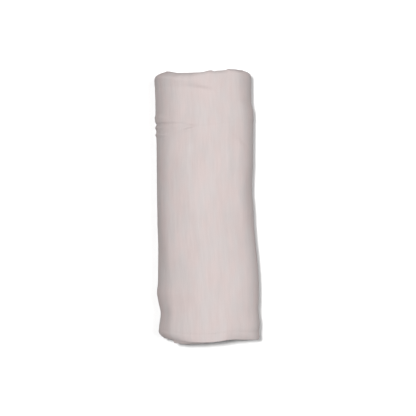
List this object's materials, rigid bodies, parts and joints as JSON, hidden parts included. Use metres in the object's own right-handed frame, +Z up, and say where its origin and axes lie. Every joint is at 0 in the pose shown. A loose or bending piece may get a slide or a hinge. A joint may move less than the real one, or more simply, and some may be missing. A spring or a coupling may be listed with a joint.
{
  "type": "baby wrap sling",
  "caption": "Long soft cloth baby wrap carrier, folded and rolled into a bundle lying flat, with a loose tail that peels open.",
  "frame": {"origin": "middle of the bundle's footprint on the floor", "axes": "+Y along the roll towards the folded end, +Z up, +X towards the side where the tail ends"},
  "size_m": [0.1102, 0.3, 0.0761],
  "materials": {
    "wrap_cloth": "matte",
    "hem_thread": "matte",
    "label_satin": "satin",
    "marker_ribbon": "satin"
  },
  "bodies": {
    "roll": {"inner_roll": "wrap_cloth", "outer_turn": "wrap_cloth", "long_hem_stitching": "hem_thread", "middle_marker": "marker_ribbon"},
    "tail": {"tail": "wrap_cloth", "tail_long_hem_stitching": "hem_thread", "tail_end_hem_stitching": "hem_thread"},
    "care_label": {"care_label": "label_satin"}
  },
  "joints": [
    {"name": "tail_peel", "type": "hinge", "parent": "roll", "child": "tail", "pos_m": [0.01455, 0, 0.07472], "axis": [0, -1, 0], "range_deg": [0, 100]},
    {"name": "care_label_flip", "type": "hinge", "parent": "tail", "child": "care_label", "pos_m": [0.05286, -0.088, 0.0266], "axis": [0, -1, 0], "range_deg": [-20, 85]}
  ]
}
